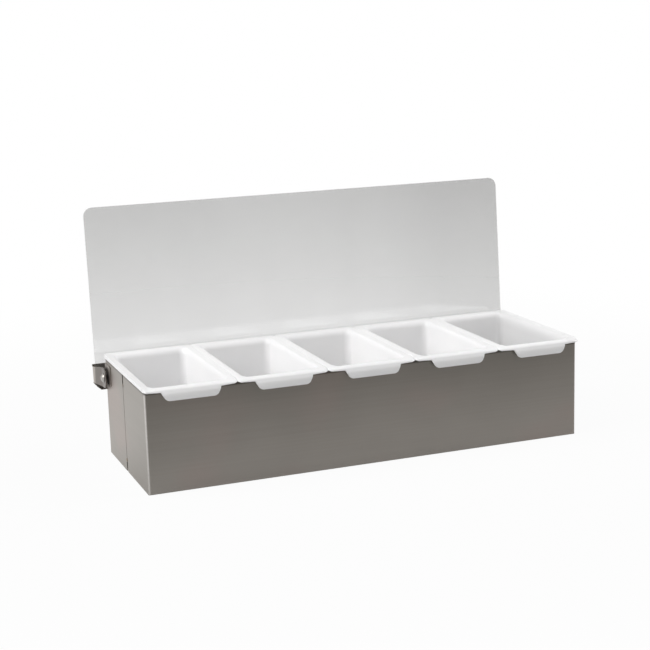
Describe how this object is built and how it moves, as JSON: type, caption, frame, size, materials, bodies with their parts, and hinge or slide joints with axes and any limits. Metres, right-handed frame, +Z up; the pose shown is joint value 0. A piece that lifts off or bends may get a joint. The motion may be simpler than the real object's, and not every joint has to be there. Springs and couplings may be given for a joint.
{
  "type": "bar condiment caddy",
  "caption": "Long folded steel box holding a row of lift-out plastic pans with thumb tabs, under one clear flip lid on a hinged steel rail.",
  "frame": {"origin": "middle of the box's underside, on the surface it stands on", "axes": "+X along the box to the right-hand end as seen from the front, +Y to the back where the lid hinges, +Z up"},
  "size_m": [0.4688, 0.1947, 0.2467],
  "materials": {
    "steel": "satin stainless sheet",
    "rail_steel": "satin stainless sheet",
    "weld": "ground weld",
    "rivet_steel": "smooth stainless",
    "black_nylon": "matt",
    "white_plastic": "moulded, low gloss",
    "clear_plastic": "clear, polished"
  },
  "bodies": {
    "body": {"body_shell": "steel", "seam_weld_left": "weld", "seam_weld_right": "weld", "hinge_plate_left": "steel", "hinge_plate_right": "steel", "pivot_rivet_left": "rivet_steel", "pivot_rivet_right": "rivet_steel", "spacer_washer_left": "black_nylon", "spacer_washer_right": "black_nylon", "retaining_washer_left": "rivet_steel", "retaining_washer_right": "rivet_steel"},
    "lid": {"lid_sheet": "clear_plastic", "lid_rail": "rail_steel", "lid_rivets": "rivet_steel", "lid_rivet_washers": "rivet_steel"},
    "pan_1": {"pan_1": "white_plastic"},
    "pan_2": {"pan_2": "white_plastic"},
    "pan_3": {"pan_3": "white_plastic"},
    "pan_4": {"pan_4": "white_plastic"},
    "pan_5": {"pan_5": "white_plastic"}
  },
  "joints": [
    {"name": "lid_hinge", "type": "hinge", "parent": "body", "child": "lid", "pos_m": [0, 0.07, 0.0797], "axis": [-1, 0, 0], "range_deg": [-95.3, 0]},
    {"name": "pan_1_lift", "type": "slide", "parent": "body", "child": "pan_1", "axis": [0, 0, 1], "range_m": [0, 0.1]},
    {"name": "pan_2_lift", "type": "slide", "parent": "body", "child": "pan_2", "axis": [0, 0, 1], "range_m": [0, 0.1]},
    {"name": "pan_3_lift", "type": "slide", "parent": "body", "child": "pan_3", "axis": [0, 0, 1], "range_m": [0, 0.1]},
    {"name": "pan_4_lift", "type": "slide", "parent": "body", "child": "pan_4", "axis": [0, 0, 1], "range_m": [0, 0.1]},
    {"name": "pan_5_lift", "type": "slide", "parent": "body", "child": "pan_5", "axis": [0, 0, 1], "range_m": [0, 0.1]}
  ]
}
